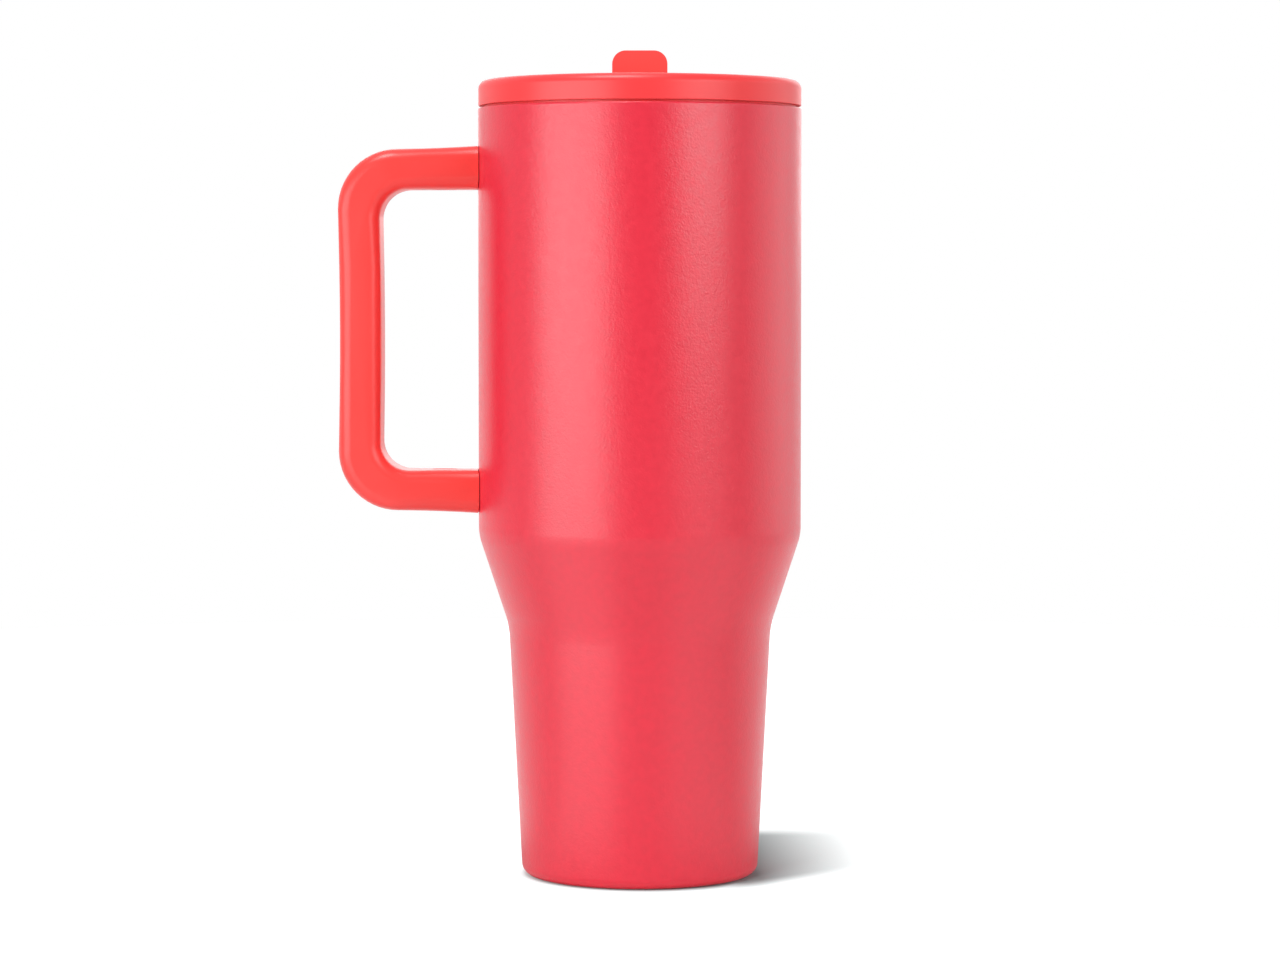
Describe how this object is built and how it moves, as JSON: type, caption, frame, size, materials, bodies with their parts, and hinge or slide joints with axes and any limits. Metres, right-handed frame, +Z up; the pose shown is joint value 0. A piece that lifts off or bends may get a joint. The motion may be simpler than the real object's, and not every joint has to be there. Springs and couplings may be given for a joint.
{
  "type": "insulated travel mug",
  "caption": "Tall double-walled vacuum travel mug with a tapered foot, a side handle, and a push-in lid with a flip-up drinking spout and a straw",
  "frame": {"origin": "centre of the flat underside of the foot, on the body's axis", "axes": "+Z up along the body's axis; the handle is on the -X side; the spout folds towards +Y and the thumb tab faces -Y"},
  "size_m": [0.1443, 0.101, 0.2579],
  "materials": {
    "coated_steel": "fine-grained powder coat, satin coral red",
    "bare_steel": "brushed and electropolished",
    "seal_glass": "dark solder glass",
    "getter_metal": "sintered metal pellet",
    "foot_rubber": "matte silicone",
    "core_plastic": "moulded, hidden",
    "coral_plastic": "satin moulded coral plastic",
    "silicone": "translucent white silicone",
    "straw_plastic": "clear-white, smooth",
    "coral_silicone": "soft satin silicone"
  },
  "bodies": {
    "mug": {"outer_shell": "coated_steel", "inner_liner": "bare_steel", "outer_base": "coated_steel", "vacuum_seal": "seal_glass", "getter": "getter_metal", "base_pad": "foot_rubber", "upper_lug": "bare_steel", "lower_lug": "bare_steel", "handle_core": "core_plastic", "handle_grip": "coral_plastic", "handle_screws": "bare_steel", "screw_caps": "coral_plastic"},
    "lid": {"lid_shell": "coral_plastic", "lid_base": "coral_plastic", "lid_gasket": "silicone", "spout_seal": "silicone", "vent_valve": "silicone", "straw_adapter": "silicone", "straw": "straw_plastic"},
    "spout": {"spout_body": "coral_plastic", "mouthpiece": "coral_silicone"}
  },
  "joints": [
    {"name": "lid_lift", "type": "slide", "parent": "mug", "child": "lid", "axis": [0, 0, 1], "range_m": [0, 0.245]},
    {"name": "spout_flip", "type": "hinge", "parent": "lid", "child": "spout", "pos_m": [0, 0, 0.2425], "axis": [1, 0, 0], "range_deg": [0, 90]}
  ]
}
